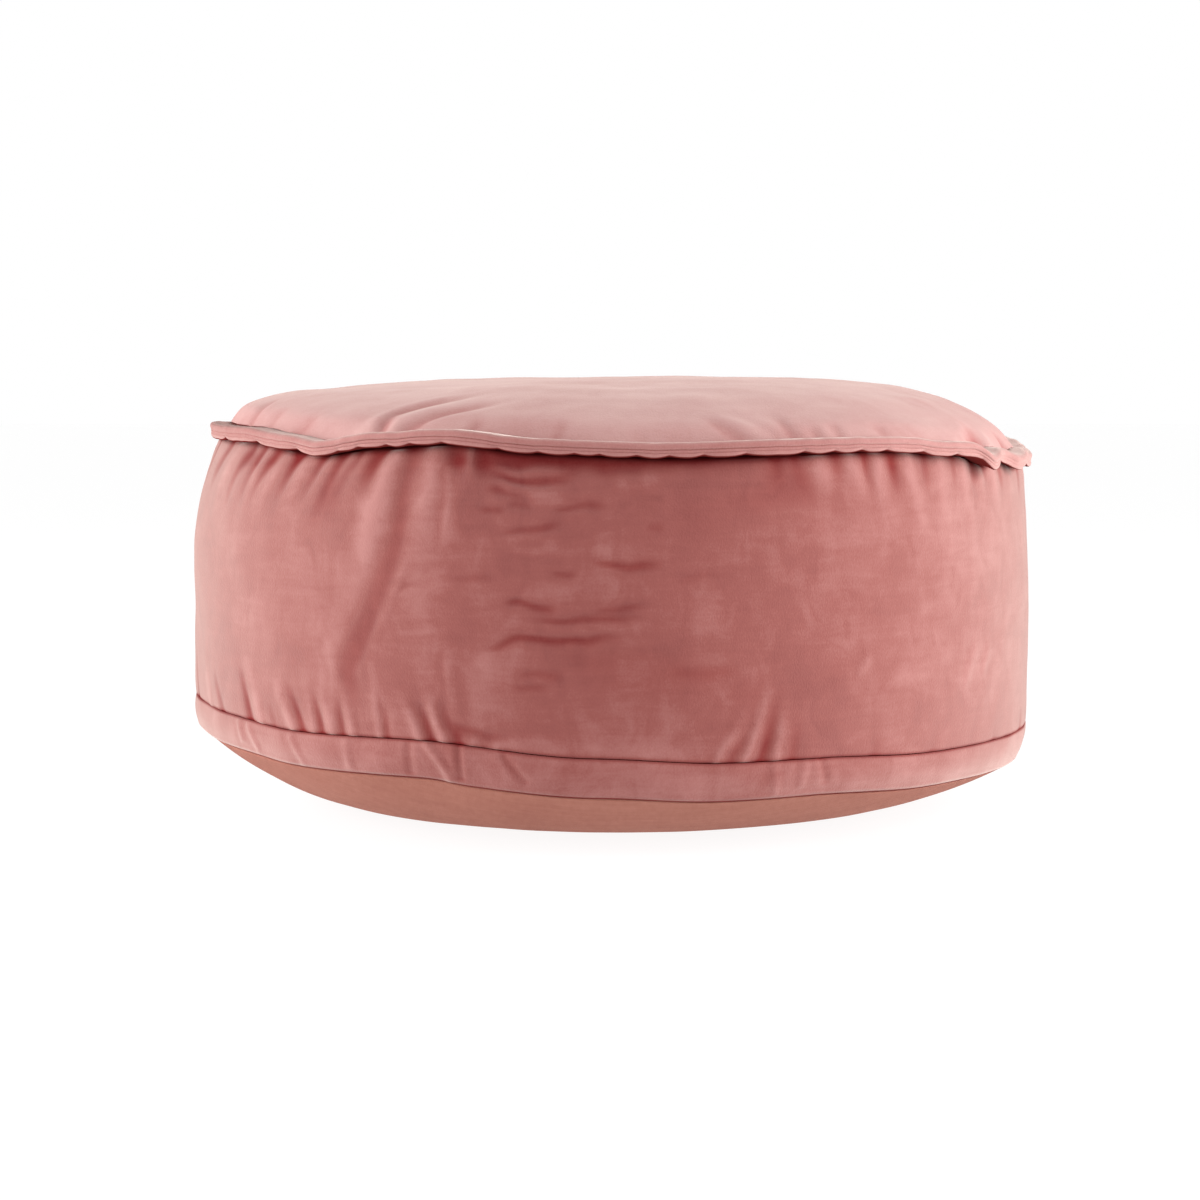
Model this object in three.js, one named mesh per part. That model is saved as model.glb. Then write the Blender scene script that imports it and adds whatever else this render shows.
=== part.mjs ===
import * as THREE from "three";

// A round velvet floor pouf, in millimetres, +Z up, at rest on z = 0, with its front towards -Y.
// An azimuth is in degrees from the front and grows towards +X.

// Driving sizes
const sideRadius = 299;
const crownHeight = 302.5;
const restRadius = 171;
const lowerSeamRadius = 299.5;
const hemRadiusLeft = 296;
const hemRadiusRight = 291.5;
const bandWidth = 25.8;
const topSeamOffset = 8;
const wallTopRadius = 288;
const wallLeanPower = 5;
const flangeRoot = 278;
const flangeReach = 18;
const flangeRootBelow = 3.6;
const flangeBelow = 4.6;
const flangeRootAbove = 4.3;
const flangeAbove = 4.8;
const domeRootRadius = 280.5;
const clearance = 0.3;
const facets = 180;

// A fold keeps its full depth over the first part of its reach, and marks its seam by a share of it
const foldHold = 0.2;
const seamFoldShare = 0.6;

// How square and how soft the crown is on its steep left and its long right
const crownLeft = { squareness: 2.2, softness: 0.38 };
const crownRight = { squareness: 5, softness: 0.73 };

// Heights of the inner faces at the axis, where the filled pieces meet
const topSeamCore = 257;
const lowerSeamCore = 66;
const hemCore = 41;

// Crests and dips of the flange: its height, and how far it swings out or in
const flangeLine = [
  { azimuth: -82, height: 265, out: -1 },
  { azimuth: -60, height: 264, out: 1 },
  { azimuth: -44, height: 256.6, out: -2 },
  { azimuth: -33, height: 261.5, out: 0 },
  { azimuth: -22, height: 265.2, out: 1 },
  { azimuth: -12, height: 259.5, out: 0 },
  { azimuth: 6, height: 256.6, out: 1 },
  { azimuth: 36, height: 259.8, out: 0 },
  { azimuth: 50, height: 256, out: 1 },
  { azimuth: 58, height: 248, out: 3 },
  { azimuth: 63, height: 250.5, out: -4 },
  { azimuth: 70, height: 245, out: 2 },
  { azimuth: 76, height: 248.5, out: -3 },
  { azimuth: 86, height: 246.5, out: 1 },
  { azimuth: 104, height: 254, out: -2 },
  { azimuth: 122, height: 258.5, out: 2 },
  { azimuth: 141, height: 252.5, out: -1 },
  { azimuth: 158, height: 257, out: 1 },
  { azimuth: 172, height: 260.5, out: -2 },
  { azimuth: 188, height: 255.5, out: 2 },
  { azimuth: 210, height: 261, out: 0 },
  { azimuth: 226, height: 257, out: -2 },
  { azimuth: 250, height: 262, out: 2 },
];

// Crests and dips of the seam between the side wall and the lower band
const lowerSeamLine = [
  { azimuth: -76, height: 77.5 },
  { azimuth: -60, height: 75 },
  { azimuth: -44, height: 71.7 },
  { azimuth: -25, height: 73.4 },
  { azimuth: -2, height: 65 },
  { azimuth: 14, height: 61 },
  { azimuth: 26, height: 61.4 },
  { azimuth: 45, height: 57.6 },
  { azimuth: 76, height: 56.6 },
  { azimuth: 104, height: 60 },
  { azimuth: 132, height: 63.5 },
  { azimuth: 158, height: 61.5 },
  { azimuth: 186, height: 67 },
  { azimuth: 214, height: 70.5 },
  { azimuth: 238, height: 69 },
];

// Crests and dips of the lower band's width, with the step at its join
const bandLine = [
  { azimuth: -56, wider: -2.6 },
  { azimuth: -22.5, wider: -0.6 },
  { azimuth: -19, wider: 1.2 },
  { azimuth: -6, wider: 0.4 },
  { azimuth: 52, wider: -1.6 },
  { azimuth: 110, wider: 0.6 },
  { azimuth: 200, wider: -0.8 },
];

// Folds of the side wall that start under the flange and run down
const topFolds = [
  { azimuth: -72, raise: -2.5, width: 3, reach: 70, lean: 2 },
  { azimuth: -57, raise: -3.5, width: 2.2, reach: 60, lean: -2 },
  { azimuth: -50, raise: -4, width: 2.2, reach: 75, lean: -2 },
  { azimuth: -45, raise: -3, width: 2.2, reach: 60, lean: -3 },
  { azimuth: -30, raise: -3, width: 2.2, reach: 60, lean: 0 },
  { azimuth: -25.5, raise: -5, width: 2.8, reach: 195, lean: -15 },
  { azimuth: -22, raise: 2, width: 2.4, reach: 120, lean: 1 },
  { azimuth: -18.5, raise: -4, width: 2, reach: 45, lean: 2 },
  { azimuth: -16, raise: 2.5, width: 2, reach: 35, lean: 1 },
  { azimuth: -10, raise: -3, width: 5, reach: 30, lean: 4 },
  { azimuth: 4, raise: -2.5, width: 6, reach: 26, lean: 0 },
  { azimuth: 29.5, raise: -2.5, width: 1.8, reach: 55, lean: 0 },
  { azimuth: 34, raise: -2.5, width: 1.8, reach: 65, lean: 1 },
  { azimuth: 39, raise: -3, width: 1.9, reach: 75, lean: 1 },
  { azimuth: 44, raise: -3, width: 1.9, reach: 85, lean: 1 },
  { azimuth: 49, raise: -3, width: 1.9, reach: 80, lean: 1 },
  { azimuth: 54, raise: -3, width: 1.9, reach: 75, lean: 1 },
  { azimuth: 59, raise: -3.5, width: 2, reach: 85, lean: 0 },
  { azimuth: 66, raise: -3, width: 2.4, reach: 70, lean: 0 },
  { azimuth: 78, raise: -2, width: 3, reach: 60, lean: -2 },
  { azimuth: 97, raise: -2.5, width: 3, reach: 70, lean: 2 },
  { azimuth: 112, raise: -3.5, width: 2.6, reach: 90, lean: 4 },
  { azimuth: 120, raise: -3, width: 2.4, reach: 60, lean: 2 },
  { azimuth: 136, raise: -4, width: 3, reach: 110, lean: -6 },
  { azimuth: 151, raise: -3, width: 2.6, reach: 60, lean: 2 },
  { azimuth: 160, raise: -3, width: 2.4, reach: 80, lean: 3 },
  { azimuth: 178, raise: -3.5, width: 3, reach: 70, lean: -3 },
  { azimuth: 193, raise: -3, width: 2.6, reach: 90, lean: 5 },
  { azimuth: 206, raise: -4, width: 2.8, reach: 120, lean: 6 },
  { azimuth: 221, raise: -3, width: 2.4, reach: 60, lean: 0 },
  { azimuth: 236, raise: -3.5, width: 2.8, reach: 85, lean: -4 },
  { azimuth: 248, raise: -3, width: 2.4, reach: 60, lean: 2 },
  { azimuth: 262, raise: -3, width: 2.8, reach: 75, lean: 3 },
];

// Folds of the side wall that start at the lower seam and run up
const seamFolds = [
  { azimuth: -78, raise: -2.5, width: 2.6, reach: 55, lean: -2 },
  { azimuth: -64, raise: -3, width: 2.2, reach: 60, lean: -3 },
  { azimuth: -55, raise: -3.5, width: 2.2, reach: 75, lean: -3 },
  { azimuth: -48.5, raise: -3, width: 2, reach: 70, lean: -3 },
  { azimuth: -43, raise: -3, width: 2, reach: 60, lean: -2 },
  { azimuth: -36.5, raise: -3.5, width: 2.2, reach: 70, lean: -1 },
  { azimuth: -26, raise: -2.5, width: 2, reach: 50, lean: -5 },
  { azimuth: -20.5, raise: -3.5, width: 1.8, reach: 150, lean: -1 },
  { azimuth: -14, raise: -2, width: 3, reach: 30, lean: 3 },
  { azimuth: 6, raise: -2, width: 4, reach: 30, lean: 2 },
  { azimuth: 17, raise: -2, width: 2.4, reach: 70, lean: 3 },
  { azimuth: 33, raise: -2, width: 3, reach: 40, lean: 2 },
  { azimuth: 52, raise: -2, width: 3, reach: 60, lean: 2 },
  { azimuth: 70, raise: -2, width: 3, reach: 45, lean: 1 },
  { azimuth: 92, raise: -2.5, width: 2.8, reach: 55, lean: 2 },
  { azimuth: 108, raise: -3, width: 2.4, reach: 70, lean: 3 },
  { azimuth: 127, raise: -3, width: 2.6, reach: 60, lean: -3 },
  { azimuth: 146, raise: -3, width: 2.4, reach: 75, lean: 2 },
  { azimuth: 168, raise: -3, width: 2.8, reach: 60, lean: 4 },
  { azimuth: 184, raise: -3, width: 2.4, reach: 55, lean: -2 },
  { azimuth: 200, raise: -3.5, width: 2.6, reach: 80, lean: 3 },
  { azimuth: 217, raise: -3, width: 2.4, reach: 60, lean: -3 },
  { azimuth: 232, raise: -3, width: 2.6, reach: 70, lean: 2 },
  { azimuth: 252, raise: -3, width: 2.6, reach: 60, lean: -2 },
];

// Folds of the top panel that start at the flange and run in over the dome
const domeFolds = [
  { azimuth: -70, raise: -2.5, width: 4, reach: 90, lean: 6 },
  { azimuth: -46, raise: -3, width: 3.2, reach: 110, lean: 10 },
  { azimuth: -33, raise: -3.5, width: 3, reach: 130, lean: 12 },
  { azimuth: -27, raise: -3, width: 2.8, reach: 110, lean: 12 },
  { azimuth: -11, raise: -2.5, width: 3, reach: 70, lean: 6 },
  { azimuth: 7, raise: -2.5, width: 3, reach: 80, lean: 5 },
  { azimuth: 17, raise: -2.5, width: 2.6, reach: 60, lean: 2 },
  { azimuth: 24, raise: -2.5, width: 2.6, reach: 60, lean: 0 },
  { azimuth: 38, raise: -2, width: 3, reach: 60, lean: -3 },
  { azimuth: 58, raise: -6, width: 3.2, reach: 60, lean: -4 },
  { azimuth: 76, raise: -5, width: 3.4, reach: 60, lean: 2 },
  { azimuth: 100, raise: -3, width: 4, reach: 100, lean: 8 },
  { azimuth: 128, raise: -3, width: 3.6, reach: 120, lean: -8 },
  { azimuth: 149, raise: -3, width: 3, reach: 90, lean: 6 },
  { azimuth: 170, raise: -3, width: 3.6, reach: 110, lean: 8 },
  { azimuth: 192, raise: -3, width: 3, reach: 80, lean: -6 },
  { azimuth: 216, raise: -3.5, width: 3.4, reach: 120, lean: 10 },
  { azimuth: 240, raise: -3, width: 3, reach: 90, lean: -5 },
  { azimuth: 262, raise: -2.5, width: 3.6, reach: 100, lean: 7 },
];

// Sections of each piece, from the axis or the inner edge and round to it again
const wallSections = [
  { up: 0, bulge: 0 },
  { up: 0.06, bulge: 1.2 },
  { up: 0.17, bulge: 1.6 },
  { up: 0.32, bulge: 1.2 },
  { up: 0.48, bulge: 0.7 },
  { up: 0.63, bulge: 0.4 },
  { up: 0.77, bulge: 0.2 },
  { up: 0.89, bulge: 0 },
  { up: 0.96, bulge: 0 },
  { up: 1, bulge: -1 },
];
const bandSections = [
  { up: 0, bulge: 0 },
  { up: 0.3, bulge: 1.6 },
  { up: 0.72, bulge: 1.6 },
  { up: 1, bulge: 0 },
];
const baseSections = [
  { out: 0 },
  { out: 0.3 },
  { out: 0.55 },
  { out: 0.75 },
  { out: 0.9 },
  { out: 1 },
];
const domeSections = [
  { inward: 0 },
  { inward: 0.018 },
  { inward: 0.05 },
  { inward: 0.1 },
  { inward: 0.18 },
  { inward: 0.3 },
  { inward: 0.48 },
  { inward: 0.74 },
];
const flangeSections = [
  { reach: 0, rise: -flangeRootBelow },
  { reach: 0.62, rise: -flangeBelow },
  { reach: 0.88, rise: -4.2 },
  { reach: 0.97, rise: -2 },
  { reach: 0.9, rise: -0.4 },
  { reach: 1, rise: 1.8 },
  { reach: 0.86, rise: 4.6 },
  { reach: 0.4, rise: flangeAbove },
  { reach: 0, rise: flangeRootAbove },
];

const radians = THREE.MathUtils.degToRad;

// The shortest turn from one azimuth to another, in degrees
function turnBetween(from, to) {
  return THREE.MathUtils.euclideanModulo(to - from + 180, 360) - 180;
}

// A column of a line of crests and dips, eased from each row to the next
function along(line, column, azimuth) {
  const turned = line.map((row) => THREE.MathUtils.euclideanModulo(azimuth - row.azimuth, 360));
  const before = turned.indexOf(Math.min(...turned));
  const after = (before + 1) % line.length;
  const stretch = THREE.MathUtils.euclideanModulo(line[after].azimuth - line[before].azimuth, 360);
  const share = THREE.MathUtils.smoothstep(turned[before], 0, stretch);
  return THREE.MathUtils.lerp(line[before][column], line[after][column], share);
}

// The sum of the folds at an azimuth and a distance from the edge where they start
function foldsAt(folds, azimuth, distance) {
  let raised = 0;
  for (const fold of folds) {
    const share = distance / fold.reach;
    if (share < 1) {
      const aside = turnBetween(fold.azimuth + fold.lean * share, azimuth) / fold.width;
      raised += fold.raise * Math.exp(-aside * aside) * (1 - THREE.MathUtils.smoothstep(share, foldHold, 1));
    }
  }
  return raised;
}

// How far an azimuth lies to the right, from 0 at -X to 1 at +X
function rightness(azimuth) {
  return (1 + Math.sin(radians(azimuth))) / 2;
}

// Heights of the three seams, and how far out the two lower ones lie
const flangeHeight = (azimuth) => along(flangeLine, "height", azimuth);
const lowerSeamHeight = (azimuth) => along(lowerSeamLine, "height", azimuth);
const hemHeight = (azimuth) => lowerSeamHeight(azimuth) - bandWidth - along(bandLine, "wider", azimuth);
const hemOut = (azimuth) => THREE.MathUtils.lerp(hemRadiusLeft, hemRadiusRight, rightness(azimuth));
const lowerSeamOut = (azimuth) => lowerSeamRadius + seamFoldShare * foldsAt(seamFolds, azimuth, 0);

// A closed solid turned from rows of points, each row placed at every azimuth.
// A row is a function of the azimuth that gives its radius, its height and its offset in X.
function turnedSolid(rows) {
  const nominal = rows.map((row) => new THREE.Vector2(row(0).radius, row(0).height));
  const geometry = new THREE.LatheGeometry(nominal, facets);
  const position = geometry.getAttribute("position");
  for (let index = 0; index < position.count; index += 1) {
    const azimuth = ((Math.floor(index / rows.length) % facets) * 360) / facets;
    const point = rows[index % rows.length](azimuth);
    const x = point.radius * Math.sin(radians(azimuth)) + (point.offset ?? 0);
    const y = -point.radius * Math.cos(radians(azimuth));
    position.setXYZ(index, x, y, point.height);
  }
  geometry.computeVertexNormals();
  return geometry;
}

// A point on the axis of a piece
const onAxis = (height, offset = 0) => () => ({ radius: 0, height, offset });

// The underside: flat where it rests, then rising to the band's lower edge
function makeBasePanel() {
  const rows = baseSections.map((section) => (azimuth) => {
    const edge = hemHeight(azimuth) - clearance / 2;
    return {
      radius: THREE.MathUtils.lerp(restRadius, hemOut(azimuth), section.out),
      height: edge * section.out * section.out,
    };
  });
  return turnedSolid([onAxis(0), ...rows, onAxis(hemCore - clearance / 2)]);
}

// The narrow band between the underside and the side wall
function makeLowerBand() {
  const rows = bandSections.map((section) => (azimuth) => {
    const bottom = hemHeight(azimuth) + clearance / 2;
    const top = lowerSeamHeight(azimuth) - clearance / 2;
    return {
      radius: THREE.MathUtils.lerp(hemOut(azimuth), lowerSeamOut(azimuth), section.up) + section.bulge,
      height: THREE.MathUtils.lerp(bottom, top, section.up),
    };
  });
  return turnedSolid([
    onAxis(hemCore + clearance / 2),
    ...rows,
    onAxis(lowerSeamCore - clearance / 2),
  ]);
}

// The side wall: a filled drum, folded at both seams and leaning in under the flange
function makeSideWall() {
  const rows = wallSections.map((section) => (azimuth) => {
    const bottom = lowerSeamHeight(azimuth) + clearance / 2;
    const top = flangeHeight(azimuth) - flangeBelow - clearance;
    const height = THREE.MathUtils.lerp(bottom, top, section.up);
    if (section.up === 0) return { radius: lowerSeamOut(azimuth), height };
    const leanIn = Math.pow(section.up, wallLeanPower);
    const folded = foldsAt(topFolds, azimuth, top - height) + foldsAt(seamFolds, azimuth, height - bottom);
    return {
      radius: THREE.MathUtils.lerp(sideRadius, wallTopRadius, leanIn) + section.bulge + folded,
      height,
      offset: topSeamOffset * leanIn,
    };
  });
  const underFlange = (azimuth) => ({
    radius: flangeRoot,
    height: flangeHeight(azimuth) - flangeRootBelow - clearance,
    offset: topSeamOffset,
  });
  const besideFlange = (azimuth) => ({
    radius: flangeRoot,
    height: flangeHeight(azimuth) - clearance / 2,
    offset: topSeamOffset,
  });
  return turnedSolid([
    onAxis(lowerSeamCore + clearance / 2),
    ...rows,
    underFlange,
    besideFlange,
    onAxis(topSeamCore - clearance / 2, topSeamOffset),
  ]);
}

// The folded flange: two rolled edges with a stitched groove between them
function makeTopFlange() {
  const rows = flangeSections.map((section) => (azimuth) => ({
    radius: flangeRoot + clearance + section.reach * (flangeReach + along(flangeLine, "out", azimuth)),
    height: flangeHeight(azimuth) + section.rise,
    offset: topSeamOffset,
  }));
  return turnedSolid([...rows, rows[0]]);
}

// The crowned top, steep on the left and long on the right
function makeTopPanel() {
  const rows = domeSections.map((section) => (azimuth) => {
    const root = flangeHeight(azimuth) + flangeAbove + clearance;
    const side = rightness(azimuth);
    const squareness = THREE.MathUtils.lerp(crownLeft.squareness, crownRight.squareness, side);
    const softness = THREE.MathUtils.lerp(crownLeft.softness, crownRight.softness, side);
    const share = Math.pow(1 - Math.pow(1 - section.inward, squareness), softness);
    const distance = section.inward * domeRootRadius;
    const folded = section.inward === 0 ? 0 : foldsAt(domeFolds, azimuth, distance);
    return {
      radius: domeRootRadius - distance,
      height: THREE.MathUtils.lerp(root, crownHeight, share) + folded,
      offset: topSeamOffset,
    };
  });
  const besideFlange = (rise) => (azimuth) => ({
    radius: flangeRoot,
    height: flangeHeight(azimuth) + rise,
    offset: topSeamOffset,
  });
  return turnedSolid([
    onAxis(topSeamCore + clearance / 2, topSeamOffset),
    besideFlange(clearance / 2),
    besideFlange(flangeRootAbove + clearance),
    ...rows,
    onAxis(crownHeight, topSeamOffset),
  ]);
}

const velvet = { roughness: 0.85, metalness: 0 };
const finishes = {
  top: new THREE.MeshStandardMaterial({ color: 0xd6a8a3, ...velvet }),
  flange: new THREE.MeshStandardMaterial({ color: 0xdfaaa5, ...velvet }),
  wall: new THREE.MeshStandardMaterial({ color: 0xb4645f, ...velvet }),
  base: new THREE.MeshStandardMaterial({ color: 0xc5866f, roughness: 0.95, metalness: 0 }),
};

const pieces = [
  { name: "base_panel", geometry: makeBasePanel(), finish: finishes.base },
  { name: "lower_band", geometry: makeLowerBand(), finish: finishes.wall },
  { name: "side_wall", geometry: makeSideWall(), finish: finishes.wall },
  { name: "top_flange", geometry: makeTopFlange(), finish: finishes.flange },
  { name: "top_panel", geometry: makeTopPanel(), finish: finishes.top },
];

const group = new THREE.Group();
for (const piece of pieces) {
  const mesh = new THREE.Mesh(piece.geometry, piece.finish);
  mesh.name = piece.name;
  group.add(mesh);
}

// The origin is under the middle of the whole pouf, on the surface it rests on
const extent = new THREE.Box3().setFromObject(group);
const middle = extent.getCenter(new THREE.Vector3());
group.position.set(-middle.x, -middle.y, -extent.min.z);

export default group;
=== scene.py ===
import math

import bmesh
import bpy
import numpy as np
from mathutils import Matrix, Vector
from mathutils.bvhtree import BVHTree


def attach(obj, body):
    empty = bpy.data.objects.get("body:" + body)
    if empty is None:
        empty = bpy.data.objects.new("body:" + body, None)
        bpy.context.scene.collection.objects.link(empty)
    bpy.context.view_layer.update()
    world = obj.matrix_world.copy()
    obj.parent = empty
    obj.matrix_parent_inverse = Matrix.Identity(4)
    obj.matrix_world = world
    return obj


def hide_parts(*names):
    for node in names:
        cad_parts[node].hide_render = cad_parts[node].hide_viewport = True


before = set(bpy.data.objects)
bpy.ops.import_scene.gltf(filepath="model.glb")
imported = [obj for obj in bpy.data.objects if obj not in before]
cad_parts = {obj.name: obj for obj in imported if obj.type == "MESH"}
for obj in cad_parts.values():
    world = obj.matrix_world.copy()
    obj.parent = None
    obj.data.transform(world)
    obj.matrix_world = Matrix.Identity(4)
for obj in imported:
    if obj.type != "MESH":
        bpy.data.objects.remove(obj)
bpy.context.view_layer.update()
mm = 0.001
wallArc = 0.3  # metres of cloth to a radian on the side, and on the crown
crownArc = 0.27

# Heights on the axis of the hidden inner faces, where one filled piece meets the next, in metres
core = {"topPanel": 0.2572, "wallTop": 0.2567, "wallBottom": 0.0662,
        "bandTop": 0.0658, "bandBottom": 0.0412, "base": 0.0408}

# The camera stands where the photograph was taken from
shot = {"place": (-0.0101, -2.076, 0.314), "downDegrees": 4.794, "lens": 85.94, "sensor": 36.0}
cameraData = bpy.data.cameras.new("shotCamera")
cameraData.lens = shot["lens"]
cameraData.sensor_width = shot["sensor"]
camera = bpy.data.objects.new("shotCamera", cameraData)
camera.location = shot["place"]
camera.rotation_euler = (math.radians(90 - shot["downDegrees"]), 0, 0)
bpy.context.scene.collection.objects.link(camera)
bpy.context.scene.camera = camera
bpy.context.scene.view_settings.view_transform = "Standard"


# Shader maths: a socket that Python expressions can be written on
class Wire:
    def __init__(self, tree, end):
        self.tree = tree
        self.end = end

    def maths(self, operation, first, second):
        made = self.tree.nodes.new("ShaderNodeMath")
        made.operation = operation
        for place, value in zip(made.inputs, (first, second)):
            plug(self.tree, place, value)
        return Wire(self.tree, made.outputs[0])

    def __add__(self, other):
        return self.maths("ADD", self, other)

    def __radd__(self, other):
        return self.maths("ADD", other, self)

    def __sub__(self, other):
        return self.maths("SUBTRACT", self, other)

    def __rsub__(self, other):
        return self.maths("SUBTRACT", other, self)

    def __mul__(self, other):
        return self.maths("MULTIPLY", self, other)

    def __rmul__(self, other):
        return self.maths("MULTIPLY", other, self)


def plug(tree, place, value):
    if isinstance(value, Wire):
        tree.links.new(value.end, place)
    else:
        place.default_value = value


# A material with one method that adds any other node
class Finish:
    def __init__(self, name):
        self.material = bpy.data.materials.new(name)
        self.material.use_nodes = True
        self.tree = self.material.node_tree
        self.tree.nodes.clear()

    def node(self, kind, settings=None, sockets=None, out=0):
        made = self.tree.nodes.new("ShaderNode" + kind)
        for name, value in (settings or {}).items():
            if name == "stops":
                for spare in range(2, len(value)):
                    made.color_ramp.elements.new(value[spare][0])
                for stop, (place, colour) in zip(made.color_ramp.elements, value):
                    stop.position = place
                    stop.color = (*colour, 1)
            else:
                setattr(made, name, value)
        for name, value in (sockets or {}).items():
            plug(self.tree, made.inputs[name], value)
        return Wire(self.tree, made.outputs[out]) if len(made.outputs) else None

    # 3-D noise on the object's own coordinates, stretched along its axes
    def grain(self, stretch, detail=3.0, warp=0.0):
        place = self.node("TexCoord", out="Object")
        mapped = self.node("Mapping", None, {"Vector": place, "Scale": stretch})
        sockets = {"Vector": mapped, "Scale": 1.0, "Detail": detail, "Distortion": warp}
        return self.node("TexNoise", None, sockets) - 0.5


velvetLook = {
    "patches": 0.55, "strokes": 0.5, "streaks": 0.3, "fibres": 0.2, "pile": 0.24,
    "pileBump": 0.00022, "napBump": 0.00012, "roughness": 0.92, "gloss": 0.12,
    "sheen": 0.72, "sheenRoughness": 0.58, "sheenTint": (1.0, 0.9, 0.82, 1),
}
topLook = dict(velvetLook, sheen=0.25, strokes=0.25, streaks=0.15, fibres=0.1)
flangeLook = dict(velvetLook, sheen=0.6, patches=0.3, strokes=0.2, streaks=0.1, fibres=0.1)


def velvet(name, stops, look=velvetLook):
    finish = Finish(name)
    nap = finish.node("Attribute", {"attribute_name": "nap"}, out="Fac")
    patches = finish.grain((13, 13, 10), 5.0, 0.8)
    strokes = finish.grain((52, 52, 34), 4.0, 1.2)
    streaks = finish.grain((12, 12, 70), 3.0, 0.8)
    fibres = finish.grain((40, 40, 240), 3.0, 0.6)
    pile = finish.grain((900, 900, 700), 2.0)
    # the pile's tone: random patches, strokes, fibres and pile, and the point attribute that holds brushed
    # patches together with painted light and shade
    tone = nap * 0.5 + patches * look["patches"] + strokes * look["strokes"]
    tone = tone + streaks * look["streaks"] + fibres * look["fibres"] + pile * look["pile"] + 0.5
    colour = finish.node("ValToRGB", {"stops": stops}, {"Fac": tone})
    relief = finish.node(
        "Bump", None,
        {"Strength": 1.0, "Distance": 1.0,
         "Height": pile * look["pileBump"] + (patches + strokes) * look["napBump"]},
    )
    rough = look["roughness"] + patches * 0.1
    raisedPile = finish.node(
        "BsdfPrincipled", None,
        {"Base Color": colour, "Roughness": rough, "Normal": relief,
         "Specular IOR Level": look["gloss"], "Sheen Weight": look["sheen"],
         "Sheen Roughness": look["sheenRoughness"], "Sheen Tint": look["sheenTint"]},
    )
    sheenlessPile = finish.node(  # a copy without sheen, for painted shade and the darkest pile
        "BsdfPrincipled", None, {"Base Color": colour, "Roughness": 1.0, "Specular IOR Level": 0.0},
    )
    # painted shade: where the pile's tone attribute is deepest, in seams, gaps between pieces, under the
    # flange and in crease valleys, the velvet turns to the copy without sheen; the darkest brushed patches
    # lose some sheen too
    flatPileAndShade = finish.node(
        "Math", {"operation": "MULTIPLY_ADD", "use_clamp": True}, {0: nap, 1: -1.4, 2: -0.15},
    )
    shader = finish.node("MixShader", None, {0: flatPileAndShade, 1: raisedPile, 2: sheenlessPile})
    finish.node("OutputMaterial", None, {"Surface": shader})
    return finish.material


clothLook = {
    "pitch": 0.0011, "threadBump": 0.00012, "threadTone": 0.22, "slub": 0.3,
    "sheen": 0.04, "sheenRoughness": 0.5, "sheenTint": (1.0, 0.9, 0.82, 1),
}


def plainWeave(name, stops, look=clothLook):
    finish = Finish(name)
    place = finish.node("TexCoord", out="Object")
    turns = 2 * math.pi / look["pitch"]
    across = finish.node("SeparateXYZ", None, {"Vector": place}, "X")
    along = finish.node("SeparateXYZ", None, {"Vector": place}, "Y")
    warp = finish.node("Math", {"operation": "SINE"}, {0: across * turns})
    weft = finish.node("Math", {"operation": "SINE"}, {0: along * turns})
    weave = warp * weft
    slub = finish.grain((260, 30, 200), 3.0) + finish.grain((30, 260, 200), 3.0)
    soft = finish.grain((9, 9, 20), 3.0, 0.5)
    tone = weave * look["threadTone"] + slub * look["slub"] + soft * 0.5 + 0.5
    colour = finish.node("ValToRGB", {"stops": stops}, {"Fac": tone})
    relief = finish.node(
        "Bump", None,
        {"Strength": 1.0, "Distance": 1.0, "Height": weave * look["threadBump"] + slub * 0.0003},
    )
    shader = finish.node(
        "BsdfPrincipled", None,
        {"Base Color": colour, "Roughness": 0.95, "Normal": relief,
         "Specular IOR Level": 0.15, "Sheen Weight": look["sheen"],
         "Sheen Roughness": look["sheenRoughness"], "Sheen Tint": look["sheenTint"]},
    )
    finish.node("OutputMaterial", None, {"Surface": shader})
    return finish.material


# Colours from deep to pale: the pile's random and brushed tone, and the painted light and shade that darkens
# seams, gaps and crease valleys and pales ridges
sideTones = [(0.0, (0.165, 0.02, 0.02)), (0.5, (0.25, 0.053, 0.046)), (0.9, (0.352, 0.125, 0.115))]
topTones = [(0.0, (0.27, 0.08, 0.075)), (0.2, (0.4, 0.168, 0.158)), (0.5, (0.48, 0.257, 0.242)),
            (0.9, (0.57, 0.352, 0.33))]
flangeTones = [(0.0, (0.16, 0.025, 0.023)), (0.25, (0.27, 0.08, 0.073)), (0.5, (0.35, 0.132, 0.122)),
               (0.9, (0.46, 0.22, 0.205))]
baseTones = [(0.1, (0.285, 0.088, 0.063)), (0.5, (0.394, 0.148, 0.107)), (0.9, (0.494, 0.211, 0.16))]
sideVelvet = velvet("sideVelvet", sideTones)
topVelvet = velvet("topVelvet", topTones, topLook)
flangeVelvet = velvet("flangeVelvet", flangeTones, flangeLook)
peachCloth = plainWeave("peachCloth", baseTones)
print("materials made")


# What the frame says: each node's points, and its surface for rays
def nodePoints(node):
    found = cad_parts[node].data.vertices
    flat = np.zeros(len(found) * 3)
    found.foreach_get("co", flat)
    return flat.reshape(-1, 3)


def nodeSurface(node):
    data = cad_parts[node].data
    return BVHTree.FromPolygons([v.co for v in data.vertices], [p.vertices for p in data.polygons])


facetDegrees = 2
topPoints = nodePoints("top_panel")
crownPoint = topPoints[topPoints[:, 2].argmax()]
topCentre = crownPoint[:2]
basePoints = nodePoints("base_panel")
baseCentre = basePoints[np.hypot(basePoints[:, 0], basePoints[:, 1]).argmin()][:2]


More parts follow.
